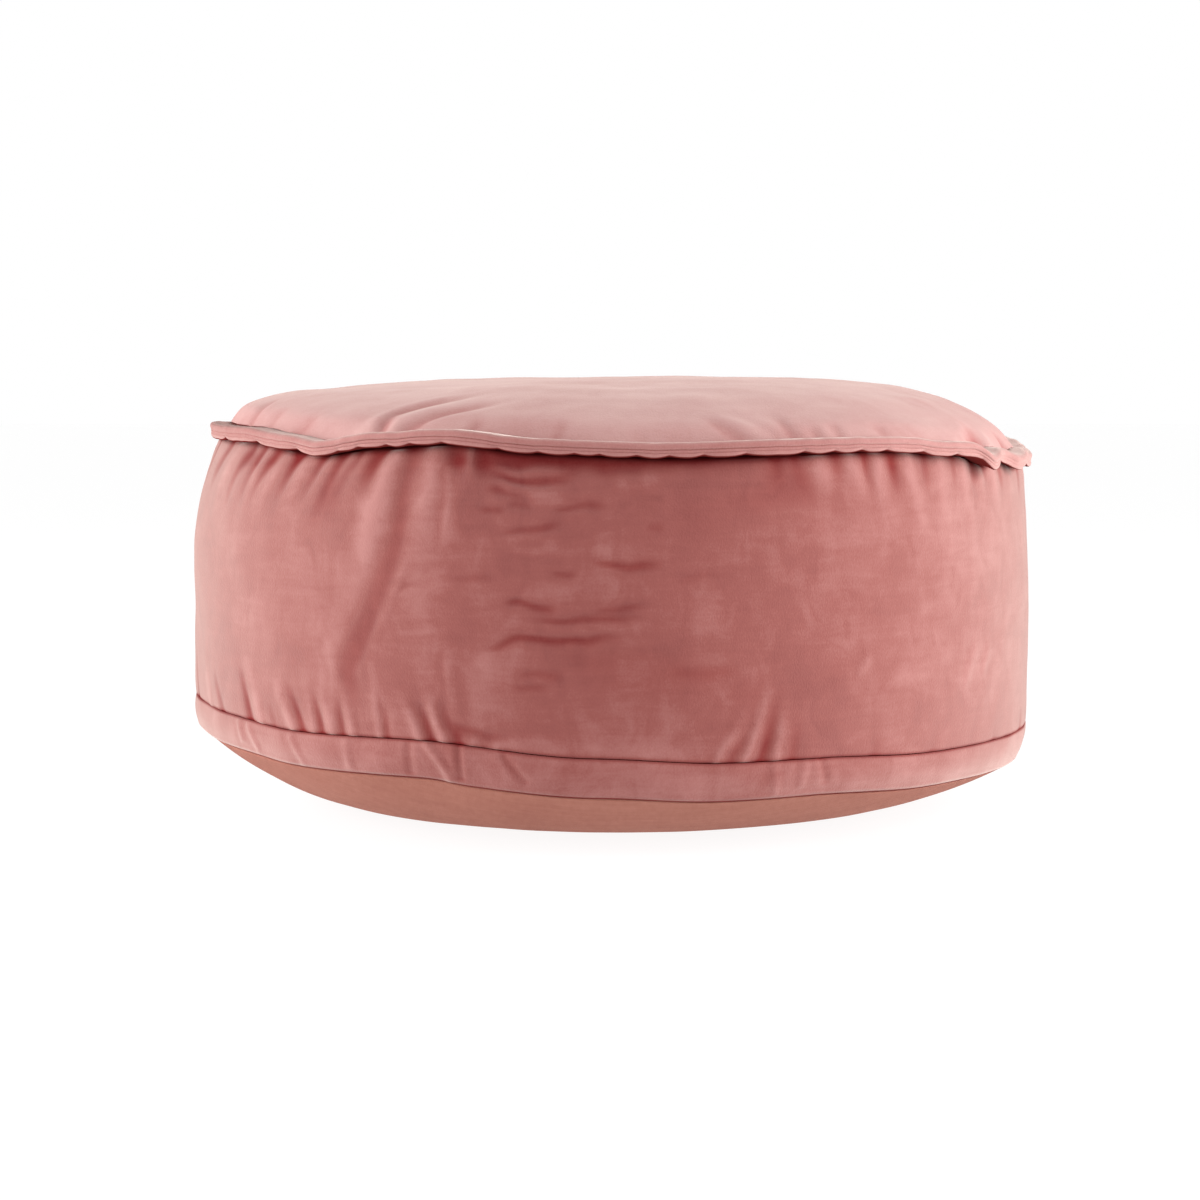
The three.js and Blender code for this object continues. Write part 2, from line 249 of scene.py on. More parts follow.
# The points of a node round a centre, one for each facet, chosen by a score of radius and height
def ringOf(points, centre, score):
    rel = points[:, :2] - centre
    radius = np.hypot(rel[:, 0], rel[:, 1])
    column = np.round(np.degrees(np.arctan2(rel[:, 0], -rel[:, 1])) / facetDegrees).astype(int)
    column = column % (360 // facetDegrees)
    ring = []
    for index in range(360 // facetDegrees):
        near = np.flatnonzero((column == index) & (radius > 0.1))
        ring.append(points[near[np.argmax(score(radius[near], points[near, 2]))]])
    return np.array(ring)


# A ring's radius and height about a centre, at any azimuths
def followRing(ring, centre, azimuths):
    rel = ring[:, :2] - centre
    turned = np.degrees(np.arctan2(rel[:, 0], -rel[:, 1])) % 360
    order = np.argsort(turned)
    radius = np.interp(azimuths, turned[order], np.hypot(rel[:, 0], rel[:, 1])[order], period=360)
    height = np.interp(azimuths, turned[order], ring[order, 2], period=360)
    return radius, height


# Rounds off values that go once round the pouf
def eased(values, sigmaDegrees):
    count = values.shape[-1]
    waves = np.fft.rfftfreq(count, 1 / count)
    keep = np.exp(-0.5 * (waves * math.radians(sigmaDegrees)) ** 2)
    return np.fft.irfft(np.fft.rfft(values, axis=-1) * keep, count, axis=-1)


# Even random swells that close on themselves round the pouf
def swells(seed, azimuth, height, shortest, longest, count):
    rng = np.random.default_rng(seed)
    total = np.zeros(np.broadcast(azimuth, height).shape)
    for _ in range(count):
        length = math.exp(rng.uniform(math.log(shortest), math.log(longest)))
        lean = rng.uniform(0, math.pi)
        round_ = round(math.cos(lean) * 2 * math.pi * wallArc / length)
        up = math.sin(lean) * 2 * math.pi / length
        phase = rng.uniform(0, 2 * math.pi)
        total += np.cos(round_ * np.radians(azimuth) + up * height + phase)
    return total / math.sqrt(count / 2)


# A crease's path as close points: azimuth in degrees and height in metres, eased through its rows
def creasePath(path, count=14):
    turns = np.array([row[0] for row in path], float)
    heights = np.array([row[1] for row in path], float) * mm
    places = np.linspace(0, len(path) - 1, count)
    low = np.clip(places.astype(int), 0, len(path) - 2)
    share = places - low

    def curve(values):
        slope = np.gradient(values)
        a, b = values[low], values[low + 1]
        s, t = slope[low], slope[low + 1]
        return (
            (2 * share**3 - 3 * share**2 + 1) * a + (share**3 - 2 * share**2 + share) * s
            + (3 * share**2 - 2 * share**3) * b + (share**3 - share**2) * t
        )

    return curve(turns), curve(heights)


# Rows of values under named columns
def table(names, *rows):
    return [dict(zip(names.split(), row)) for row in rows]


# One crease: how far it lifts, how wide it is, its path, and what else sets it apart
def crease(lift, width, *path, **more):
    return {"path": path, "raise": lift, "width": width, **more}


def easeIn(share):
    share = np.clip(share, 0, 1)
    return share * share * (3 - 2 * share)


# Adds one table of creases: the raise in metres, and the pile's tone with painted shade in each valley and a
# painted highlight on each ridge
def pressCreases(rows, azimuth, across, scale, press, raised, tone):
    for row in rows:
        turns, places = creasePath(row["path"])
        width = row["width"] * mm * press["broad"]
        wide = row.get("wide", row["width"] * 1.5) * mm * press["broad"]
        margin = 4.5 * max(width, wide)
        turned = (azimuth - turns.mean() + 180) % 360 - 180 + turns.mean()
        reachDegrees = math.degrees(margin / scale)
        near = (
            (turned > turns.min() - reachDegrees) & (turned < turns.max() + reachDegrees)
            & (across > places.min() - margin) & (across < places.max() + margin)
        )
        if not near.any():
            continue
        x, y = np.radians(turned[near]) * scale, across[near]
        px, py = np.radians(turns) * scale, places
        length = np.concatenate([[0], np.cumsum(np.hypot(np.diff(px), np.diff(py)))])
        best = np.full(x.shape, 1e9)
        along = np.zeros(x.shape)
        side = np.zeros(x.shape)
        for i in range(len(px) - 1):
            dx, dy = px[i + 1] - px[i], py[i + 1] - py[i]
            share = np.clip(((x - px[i]) * dx + (y - py[i]) * dy) / (dx * dx + dy * dy), 0, 1)
            gap = np.hypot(x - px[i] - share * dx, y - py[i] - share * dy)
            closer = gap < best
            best[closer] = gap[closer]
            along[closer] = (length[i] + share[closer] * (length[i + 1] - length[i])) / length[-1]
            side[closer] = np.sign(dx * (y - py[i]) - dy * (x - px[i]))[closer]
        half = (width + (wide - width) * along) * (1 + row.get("lean", 0) * side)
        away = (best / half) ** row.get("square", 1)
        shoulder = 0 if "lean" in row else 0.22
        fade = row.get("fade", press["fade"])
        start = easeIn(along / fade[0]) if fade[0] else 1.0
        end = easeIn((1 - along) / fade[1]) if fade[1] else 1.0
        size = row["raise"] * mm * start * end
        lift = np.exp(-away**2) - shoulder * np.exp(-((away - 2) / 0.9) ** 2)
        raised[near] += press["deep"] * size * lift
        # painted shade in the valley and a painted highlight on the ridge
        tone[near] += press["tone"] * row.get("tone", 1) * size / (3 * mm) * np.exp(-((away / 1.15) ** 2))


# A drum of rows turned round the axis: each point's height is its row and its angle its column
def spinRows(name, rows, steps, ring=False):
    form = bmesh.new()
    chain = [form.verts.new((0, -1, row)) for row in range(rows)]
    edges = [form.edges.new(pair) for pair in zip(chain, chain[1:])]
    if ring:
        edges.append(form.edges.new((chain[-1], chain[0])))
    turns = 60
    bmesh.ops.spin(
        form, geom=chain + edges, cent=(0, 0, 0), axis=(0, 0, 1), dvec=(0, 0, 0),
        angle=2 * math.pi, steps=turns, use_merge=True, use_duplicate=False,
    )
    round_ = [e for e in form.edges if abs(e.verts[0].co.z - e.verts[1].co.z) < 0.5]
    bmesh.ops.subdivide_edges(form, edges=round_, cuts=steps // turns - 1, use_grid_fill=True)
    data = bpy.data.meshes.new(name)
    form.to_mesh(data)
    form.free()
    piece = bpy.data.objects.new(name, data)
    bpy.context.scene.collection.objects.link(piece)
    return piece


def pieceCoords(piece):
    flat = np.zeros(len(piece.data.vertices) * 3)
    piece.data.vertices.foreach_get("co", flat)
    return flat.reshape(-1, 3)


# Moves each point of the drum to its place in the grids of radius, height and nap
def shapeRows(piece, steps, radius, height, nap, centre):
    start = pieceCoords(piece)
    row = np.round(start[:, 2]).astype(int)
    column = np.round(np.degrees(np.arctan2(start[:, 0], -start[:, 1])) * steps / 360).astype(int) % steps
    angle = np.radians(column * 360 / steps)
    out = radius[row, column]
    place = np.stack(
        [centre[0] + out * np.sin(angle), centre[1] - out * np.cos(angle), height[row, column]], 1
    )
    piece.data.vertices.foreach_set("co", place.ravel())
    layer = piece.data.attributes.new("nap", "FLOAT", "POINT")
    layer.data.foreach_set("value", nap[row, column].astype(np.float32))
    form = bmesh.new()
    form.from_mesh(piece.data)
    bmesh.ops.remove_doubles(form, verts=form.verts, dist=0.000001)
    bmesh.ops.recalc_face_normals(form, faces=form.faces)
    form.to_mesh(piece.data)
    form.free()
    piece.data.shade_smooth()
    piece.data.update()


# How the filling plumps a piece up: pressure, the frames, and how far a point may move
plump = {"pressure": 4.0, "frames": 20, "quality": 5, "mass": 0.3, "stiffness": 20.0, "bending": 0.6}


# Fills a piece: its sewn points stay, and its cloth is cut fuller than the seams that gather it
def fillCloth(piece, sewn, cut, cap):
    start = pieceCoords(piece)
    held = piece.vertex_groups.new(name="sewn")
    held.add([int(index) for index in np.flatnonzero(sewn)], 1.0, "REPLACE")
    piece.shape_key_add(name="worn")
    pattern = piece.shape_key_add(name="cut")
    pattern.data.foreach_set("co", cut.ravel())
    filling = piece.modifiers.new("filling", "CLOTH")
    settings = filling.settings
    settings.quality = plump["quality"]
    settings.mass = plump["mass"]
    settings.tension_stiffness = settings.compression_stiffness = plump["stiffness"]
    settings.bending_stiffness = plump["bending"]
    settings.use_pressure = True
    settings.uniform_pressure_force = plump["pressure"]
    settings.vertex_group_mass = "sewn"
    settings.rest_shape_key = pattern
    settings.effector_weights.gravity = 0
    filling.collision_settings.use_collision = False
    filling.point_cache.frame_end = plump["frames"]
    for step in range(1, plump["frames"] + 1):
        bpy.context.scene.frame_set(step)
    drawn = piece.evaluated_get(bpy.context.evaluated_depsgraph_get()).data
    flat = np.zeros(len(start) * 3)
    drawn.vertices.foreach_get("co", flat)
    moved = flat.reshape(-1, 3) - start
    far = np.linalg.norm(moved, axis=1)[:, None]
    moved *= cap * np.tanh(far / cap) / np.maximum(far, 1e-9)
    print(piece.name, "moved", round(float(far.max()) * 1000, 1), "mm")
    bpy.context.scene.frame_set(1)
    piece.modifiers.clear()
    piece.shape_key_clear()
    piece.vertex_groups.clear()
    piece.data.vertices.foreach_set("co", (start + moved).ravel())
    piece.data.update()


# One level of subdivision, applied, and then the two open ends inside are closed
def subdivide(piece):
    finer = piece.modifiers.new("finer", "SUBSURF")
    finer.levels = finer.render_levels = 1
    smoothed = bpy.data.meshes.new_from_object(piece.evaluated_get(bpy.context.evaluated_depsgraph_get()))
    piece.modifiers.clear()
    piece.data = smoothed
    form = bmesh.new()
    form.from_mesh(smoothed)
    bmesh.ops.holes_fill(form, edges=[edge for edge in form.edges if edge.is_boundary], sides=0)
    form.to_mesh(smoothed)
    form.free()


def dress(piece, node, material):
    piece.data.materials.append(material)
    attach(piece, "root")
    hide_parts(node)
    print(piece.name, len(piece.data.polygons), "faces")


# Seam lines that neighbouring pieces share, round the origin
flangeOuterRing = ringOf(nodePoints("top_flange"), topCentre, lambda radius, height: radius)
flangeInnerRing = ringOf(nodePoints("top_flange"), topCentre, lambda radius, height: -radius)
bandPoints = nodePoints("lower_band")
lowerSeamRing = ringOf(bandPoints, baseCentre, lambda radius, height: height)
hemRing = ringOf(bandPoints, baseCentre, lambda radius, height: -height)
restRing = ringOf(basePoints, baseCentre, lambda radius, height: -height)


def flangeHeight(azimuths, centre):
    return followRing(flangeOuterRing, centre, azimuths)[1] - 1.8 * mm


hiddenPaintedShade = -1.6  # painted shade: the hidden inner rows, seen only through the gaps between pieces, are painted darkest and without sheen

# The side wall

wall = {
    "steps": 420, "rows": 48, "tall": 190, "seamGap": 0.08, "underFlange": 4.9, "bend": 0.9,
    "pinchDepth": 0.3, "pinchReach": 1.0, "lump": 0.9, "wrinkle": 0.08, "frontHalf": 84,
    "solidFoldBlend": 10, "fullness": 0.02, "fullReach": 26, "cap": 4, "crisp": 0.35,
}

# Creases that start under the flange: azimuth and height along each, in degrees and mm
lipCreases = [
    crease(-1.4, 3, (-77, 262), (-79, 236), (-79, 210)),
    crease(-1.6, 3, (-68, 256), (-72, 236), (-73, 206)),
    crease(1.4, 3, (-63, 256), (-67, 232), (-68, 200)),
    crease(-1.8, 2.8, (-58.8, 254), (-62.5, 232), (-64, 198)),
    crease(-1.6, 2.2, (-55.6, 254), (-58.5, 232), (-60, 200)),
    crease(1.2, 2.2, (-53.9, 252), (-57, 229), (-58, 206)),
    crease(-1.8, 2.4, (-52.3, 252), (-55, 231), (-56.5, 205)),
    crease(1.4, 2.6, (-49.7, 250), (-53, 226), (-54, 206)),
    crease(-2.2, 2.8, (-46.9, 250), (-49.5, 228), (-51, 208)),
    crease(1.6, 3.6, (-44.3, 250), (-47, 226), (-48, 196)),
    crease(-1.8, 2.8, (-41.9, 252), (-44.5, 228), (-46, 206)),
    crease(1.2, 3, (-39.9, 250), (-43, 220), (-44, 198)),
    crease(-2.0, 3, (-38.1, 252), (-41, 226), (-43, 192)),
    crease(1.2, 2.6, (-36.3, 252), (-40, 222)),
    crease(-1.6, 2.4, (-35.2, 254), (-38, 232), (-40, 208)),
    crease(-2.8, 3.2, (-31.8, 256), (-33, 240), (-34, 214)),
    crease(2.4, 4, (-29.3, 254), (-30.9, 226), (-32.6, 192), (-33.3, 175), (-36.8, 141)),
    crease(2.6, 4.4, (-24.1, 258), (-24.1, 229), (-23.5, 213), (-23.8, 196)),
    crease(-2.6, 2.6, (-20.7, 258), (-20.5, 240), (-20.6, 214), tone=0.35),
    crease(2.2, 1.7, (-18.8, 256), (-18.5, 242), (-18, 226)),
    crease(-2.0, 2, (-16.8, 256), (-16.2, 236), tone=0.35),
    crease(-1.8, 2.6, (20.2, 254), (20, 240), (20, 226), tone=0.6),
    crease(-1.2, 2.6, (22.9, 254), (23, 232)),
    crease(1.8, 2.6, (26.3, 254), (26.6, 238), (26.5, 216)),
    crease(-1.6, 2.6, (28.8, 254), (28.8, 228)),
    crease(2.2, 2.6, (31.2, 254), (31.9, 240), (33, 214)),
    crease(-1.8, 1.8, (33.6, 254), (33.8, 238), (34.4, 222)),
    crease(2.2, 2.6, (35.2, 254), (35.6, 236), (37, 200)),
    crease(-2.4, 2.2, (37.8, 254), (38, 236), (38.4, 216)),
    crease(2.4, 2.8, (40.4, 253), (41.2, 230), (43.4, 186)),
    crease(-1.6, 2.8, (43.7, 252), (43.8, 232), (44.6, 214)),
    crease(1.8, 2.6, (46.8, 250), (47.2, 230), (47.6, 188)),
    crease(-1.4, 2.2, (49.6, 250), (49.8, 230), (50, 214)),
    crease(1.6, 2.4, (52.2, 248), (53, 224), (54.6, 196)),
    crease(-1.4, 2, (54.7, 246), (55.2, 226), (56, 212)),
    crease(1.2, 2, (56.4, 244), (57.6, 220)),
    crease(-1.2, 2, (58, 244), (59.6, 218)),
    crease(1.4, 2.4, (60.6, 244), (62, 214), (61, 190)),
    crease(-1.4, 2.4, (63, 241), (65, 214)),
    crease(1.4, 3, (67, 241), (68.5, 208)),
    crease(-1.4, 3, (73, 243), (73, 208)),
    crease(1.4, 3, (78, 243), (78, 208)),
]

# Creases that start at the lower seam and run up
seamCreases = [
    crease(-1.2, 3, (-76, 78), (-77, 102), (-77, 130)),
    crease(1.2, 2.6, (-67, 77), (-69, 100), (-70, 128)),
    crease(-1.2, 2.4, (-62.5, 77), (-65, 100), (-65, 120)),
    crease(-2.2, 2, (-54, 75), (-56, 100), (-57.6, 118)),
    crease(2.0, 2.4, (-51.6, 75), (-53.6, 104), (-56.4, 126)),
    crease(-1.0, 2, (-48.4, 75), (-50.4, 96)),
    crease(2.0, 2, (-45, 74), (-47.8, 98), (-50.6, 118)),
    crease(-2.4, 2.2, (-43, 74), (-45, 94), (-46.8, 112)),
    crease(1.2, 1.6, (-41, 74), (-41.4, 90), (-42.6, 108)),
    crease(-2.2, 1.8, (-39.5, 74), (-40.4, 92), (-41.2, 112)),
    crease(2.0, 1.8, (-37.6, 74), (-38.4, 87), (-40, 108)),
    crease(-1.8, 1.6, (-36, 74), (-36.4, 90), (-37, 106)),
    crease(2.2, 1.6, (-34.4, 74), (-34.8, 91), (-35.8, 108)),
    crease(1.8, 1.8, (-30.2, 74), (-31, 106), (-31.8, 128)),
    crease(-1.4, 1.8, (-29, 74), (-29.5, 100)),
    crease(2.2, 1.8, (-24.4, 73), (-26.2, 95), (-28.4, 116)),
    crease(-2.6, 2, (-22.6, 73), (-24, 92), (-26.4, 110)),
    crease(2.6, 1.7, (-21.2, 73), (-22.4, 92), (-24.4, 112)),
    crease(-2.0, 2, (-19.4, 72), (-20.6, 90), (-21, 104)),
    crease(1.2, 1.2, (-17.8, 72), (-17, 80)),
    crease(-1.0, 1.4, (-16.2, 71), (-15.6, 80)),
    crease(1.0, 1.2, (-14.6, 70), (-14, 78)),
    crease(1.8, 1.6, (12, 62), (13.9, 78), (16.8, 106)),
    crease(-1.2, 1.6, (14, 62), (16, 86)),
    crease(2.4, 1.7, (15.7, 62), (17.6, 90), (20, 122)),
    crease(-2.2, 2, (18, 62), (19.4, 86), (20.2, 104)),
    crease(1.8, 1.6, (19.8, 62), (20.6, 90), (22.3, 112)),
    crease(-1.2, 2.2, (22, 62), (22.8, 92)),
    crease(-0.7, 3, (34, 60), (35, 84)),
    crease(-0.6, 3, (44, 58), (45, 80)),
    crease(-0.7, 3, (60, 57), (61, 84)),
    crease(-0.9, 3, (72, 57), (73, 84)),
]

# The broad valley that falls from the flange to the lower seam, its sharp edge, and the join
fallCreases = [
    crease(-1.7, 8.0, (-26.4, 262), (-26, 243), (-27.2, 224), (-28.8, 196), (-30.6, 170), (-32.4, 146),
           (-34.6, 126), (-35.2, 112), (-34, 100), (-33.4, 76),
           wide=5.4, lean=0.1, square=1.8, tone=1.2, fade=(0, 0.2)),
    crease(-0.7, 1.8, (-29.4, 226), (-31, 196), (-33.2, 162), (-34.8, 142), (-36.2, 124), (-36.4, 112),
           (-34.8, 98), wide=1.8, fade=(0.3, 0.3)),
    crease(0.8, 1.8, (-25.4, 200), (-28, 165), (-30.6, 137), (-32, 120), wide=1.8),
    crease(1.0, 5.0, (-21.8, 250), (-21.6, 216), (-21.7, 192), wide=4.0, lean=0.8, tone=2.0, fade=(0.1, 0.4)),
    crease(-0.8, 5.0, (-21.8, 250), (-21.6, 216), (-21.7, 186),
           wide=4.0, lean=-0.8, tone=2.0, fade=(0.1, 0.5)),
    crease(1.0, 4.0, (-21.2, 146), (-20.8, 110), (-20.6, 76), wide=4.0, lean=0.8, tone=1.6, fade=(0.4, 0.1)),
    crease(-0.8, 4.0, (-21.2, 146), (-20.8, 110), (-20.4, 76),
           wide=4.0, lean=-0.8, tone=1.8, fade=(0.4, 0.1)),
    crease(-1.2, 1.3, (-29, 162), (-27.4, 166), (-25.6, 172), (-23, 174), wide=1.5),
]

# Creases that run across the middle of the wall, faded at both ends
crossCreases = [
    crease(-2.4, 2, (-17, 242), (-14.2, 241), (-10, 239), (-6.5, 240), (-3.5, 241.5)),
    crease(2.0, 1.8, (-16.5, 246), (-12, 244), (-7.6, 244), (-4, 245)),
    crease(-2.2, 2.2, (-17, 233.5), (-13.4, 232.5), (-9.5, 230), lean=-0.3),
    crease(2.0, 1.8, (-16, 236), (-10.7, 232), (-5, 229)),
    crease(-1.8, 2, (-14, 224), (-9.4, 224)),
    crease(-2.0, 1.8, (-8.5, 220), (-5.5, 223), (-2.9, 224), (0, 224)),
    crease(-1.6, 1.6, (-17.5, 218.5), (-13, 220.5)),
    crease(-2.0, 1.8, (-15.5, 204), (-12.6, 206), (-10.2, 207.5), (-8, 210), (-5.5, 215)),
    crease(-1.1, 1.3, (-13, 198), (-8, 199)),
    crease(-1.0, 1.6, (-15.5, 191), (-11, 190), (-7, 191)),
    crease(-2.4, 1.7, (-4, 187.5), (-0.3, 186), (1.7, 185), (4, 187), (6.5, 189)),
    crease(-1.6, 1.4, (-8.5, 181), (-4, 180)),
    crease(-1.0, 2, (-22, 177), (-13, 178)),
    crease(-2.4, 1.8, (-14.6, 163), (-11.8, 164), (-9.7, 161.5), (-6, 161)),
    crease(-1.6, 1.4, (-3.4, 158), (0.2, 159), (4.6, 161.5)),
    crease(-2.2, 1.6, (-12.6, 152), (-8, 153), (-4.5, 153), (1.5, 152), (5, 155)),
    crease(-2.6, 1.8, (-18.4, 129), (-15.1, 133), (-12.6, 137), (-10, 138.5), (-6.6, 139), (-2.9, 141),
           (3, 142)),
    crease(-1.4, 1.6, (-12.8, 118), (-5.5, 118)),
    crease(-1.3, 1.6, (-13.5, 110), (-7, 110)),
    crease(-2.0, 2.2, (-21, 87), (-17.9, 81), (-12, 75)),
    crease(-1.0, 1.6, (3.4, 210), (6, 209)),
    crease(1.0, 2.4, (-1, 238), (6, 238)),
    crease(-0.9, 2.4, (6, 176), (12, 179), (17, 178)),
    crease(-0.9, 2.4, (5, 120), (11, 118), (16, 120)),
    crease(1.4, 2.4, (30.6, 110), (31.8, 118), (33.2, 128)),
    crease(1.3, 2.4, (51.2, 94), (52.4, 111), (54.4, 130)),
    crease(1.2, 2.4, (55.2, 100), (56.4, 112), (58.4, 126)),
]

# How each kind of crease is set into the cloth: where it fades, how deep, how broad, and how strongly it
# paints shade in its valley and a highlight on its ridge
lipPress = {"fade": (0.0, 0.95), "deep": 0.3, "broad": 1.6, "tone": 1.0}
seamPress = {"fade": (0.0, 0.85), "deep": 0.36, "broad": 1.45, "tone": 1.0}
fallPress = {"fade": (0.35, 0.4), "deep": 0.5, "broad": 1.3, "tone": 0.7}
crossPress = {"fade": (0.3, 0.35), "deep": 0.36, "broad": 1.25, "tone": 0.75}
bandPress = {"fade": (0.0, 0.1), "deep": 0.6, "broad": 1.3, "tone": 0.5}
crownPress = {"fade": (0.0, 0.65), "deep": 0.7, "broad": 1.4, "tone": 0.5}


# Gathers of the back half, random ones of the front's size
def backGathers(seed, ring, up):
    rng = np.random.default_rng(seed)
    rows = []
    place = 84.0
    while place < 276:
        height = np.interp(place, np.arange(len(ring)) * 360 / len(ring), ring) / mm
        reach = up * rng.uniform(20, 50)
        size = rng.uniform(1.2, 2.4) * (1 if len(rows) % 2 else -1)
        start, end = (place, height - up * 2), (place + rng.uniform(-2.5, 2.5), height + reach)
        rows.append(crease(size, rng.uniform(1.8, 3), start, end))
        place += rng.uniform(1.8, 3.6)
    return rows


# Patches where the pile was brushed, with painted shadow just under the flange and the ruffle (the rows at
# heights 240 to 251 mm) and a painted highlight on the bulge above the lower seam (the rows at 69.5 and 73
# mm): centre, reach along and up in mm, and tone, which is pale above 0
brushedAndPaintedLight = table(
    "azimuth height along up tone",
    (-24, 222, 14, 34, 0.4), (-24.5, 160, 15, 40, 0.4), (-23, 100, 12, 24, 0.3), (-32, 205, 14, 34, 0.35),
    (-36, 160, 20, 22, 0.3), (-38, 120, 12, 20, 0.35), (-46, 150, 36, 40, 0.1), (-39, 222, 18, 22, -0.2),
    (-44, 120, 14, 14, -0.2), (-19, 226, 12, 30, -0.25), (-19.4, 96, 6, 24, -0.35),
    (-16.4, 106, 9, 20, 0.45), (-14, 201, 26, 8, 0.25), (-10, 226, 34, 3, 0.35), (-8, 195, 38, 5, 0.3),
    (-10, 171, 44, 5, 0.25), (-13, 126, 26, 7, 0.4), (0, 147, 46, 4, 0.2), (-3, 128, 60, 10, -0.2),
    (4, 112, 50, 14, -0.2), (-13, 73, 28, 4.5, 0.5), (0, 69.5, 36, 4.5, 0.5), (10, 208, 40, 34, -0.15),
    (22, 228, 40, 12, -0.3), (13, 172, 26, 22, 0.15), (26, 186, 44, 40, 0.15), (18, 96, 34, 24, -0.2),
    (40, 140, 44, 50, 0.1), (53, 150, 66, 90, 0.25), (-5, 251, 84, 7.5, -1.0), (20.2, 245, 10, 10, -0.2),
    (24, 240, 8, 10, -0.3), (36, 250, 20, 6, -0.3), (-20, 250, 26, 10, -0.25), (-50, 248, 60, 7, -0.35),
    (56, 240, 8, 8, -0.5), (66.5, 240, 8, 8, -0.5),
)


def frameWall(azimuths, heights):
    surface = nodeSurface("side_wall")
    found = np.zeros(heights.shape)
    for row in range(heights.shape[0]):
        for column, azimuth in enumerate(np.radians(azimuths)):
            out = Vector((math.sin(azimuth), -math.cos(azimuth), 0))
            height = heights[row, column]
            hit = surface.ray_cast(out * 0.5 + Vector((0, 0, height)), -out)[0]
            found[row, column] = math.hypot(hit.x, hit.y)
    return found


# The wall's lower and upper edge at any azimuth, in metres
def wallEdges(azimuths):
    even = np.arange(720) / 2
    seamHeight = eased(followRing(lowerSeamRing, (0, 0), even)[1], 1.5) + wall["seamGap"] * mm
    topHeight = eased(flangeHeight(even, (0, 0)), 0.8) - wall["underFlange"] * mm
    return np.interp(azimuths, even, seamHeight, period=360), np.interp(azimuths, even, topHeight, period=360)


# The solid's surface: smooth at the front, where finer creases follow, and as it is behind
def wallBody(azimuths, bottom, span, shares):
    coarse = slice(None, None, 3)
    rows = np.clip(np.linspace(0, 1, 24), 0.012, 0.985)[:, None]
    solid = frameWall(azimuths[coarse], (bottom + span * rows)[:, coarse])
    smooth = eased(solid, 9)
    turned = (azimuths[coarse] + 180) % 360 - 180
    behind = easeIn((np.abs(turned) - wall["frontHalf"]) / wall["solidFoldBlend"])
    solid = smooth + (eased(solid, 1.2) - smooth) * behind
    body = np.array([np.interp(azimuths, azimuths[coarse], row, period=360) for row in solid])
    return np.array([np.interp(shares[:, 0], rows[:, 0], column) for column in body.T]).T


# Where each point of the wall lies: azimuth, height, and its share of the way up
def wallPlaces(piece):
    place = pieceCoords(piece)
    azimuth = np.degrees(np.arctan2(place[:, 0], -place[:, 1])) % 360
    bottom, top = wallEdges(azimuth)
    return place, azimuth, bottom, (place[:, 2] - bottom) / (top - bottom)


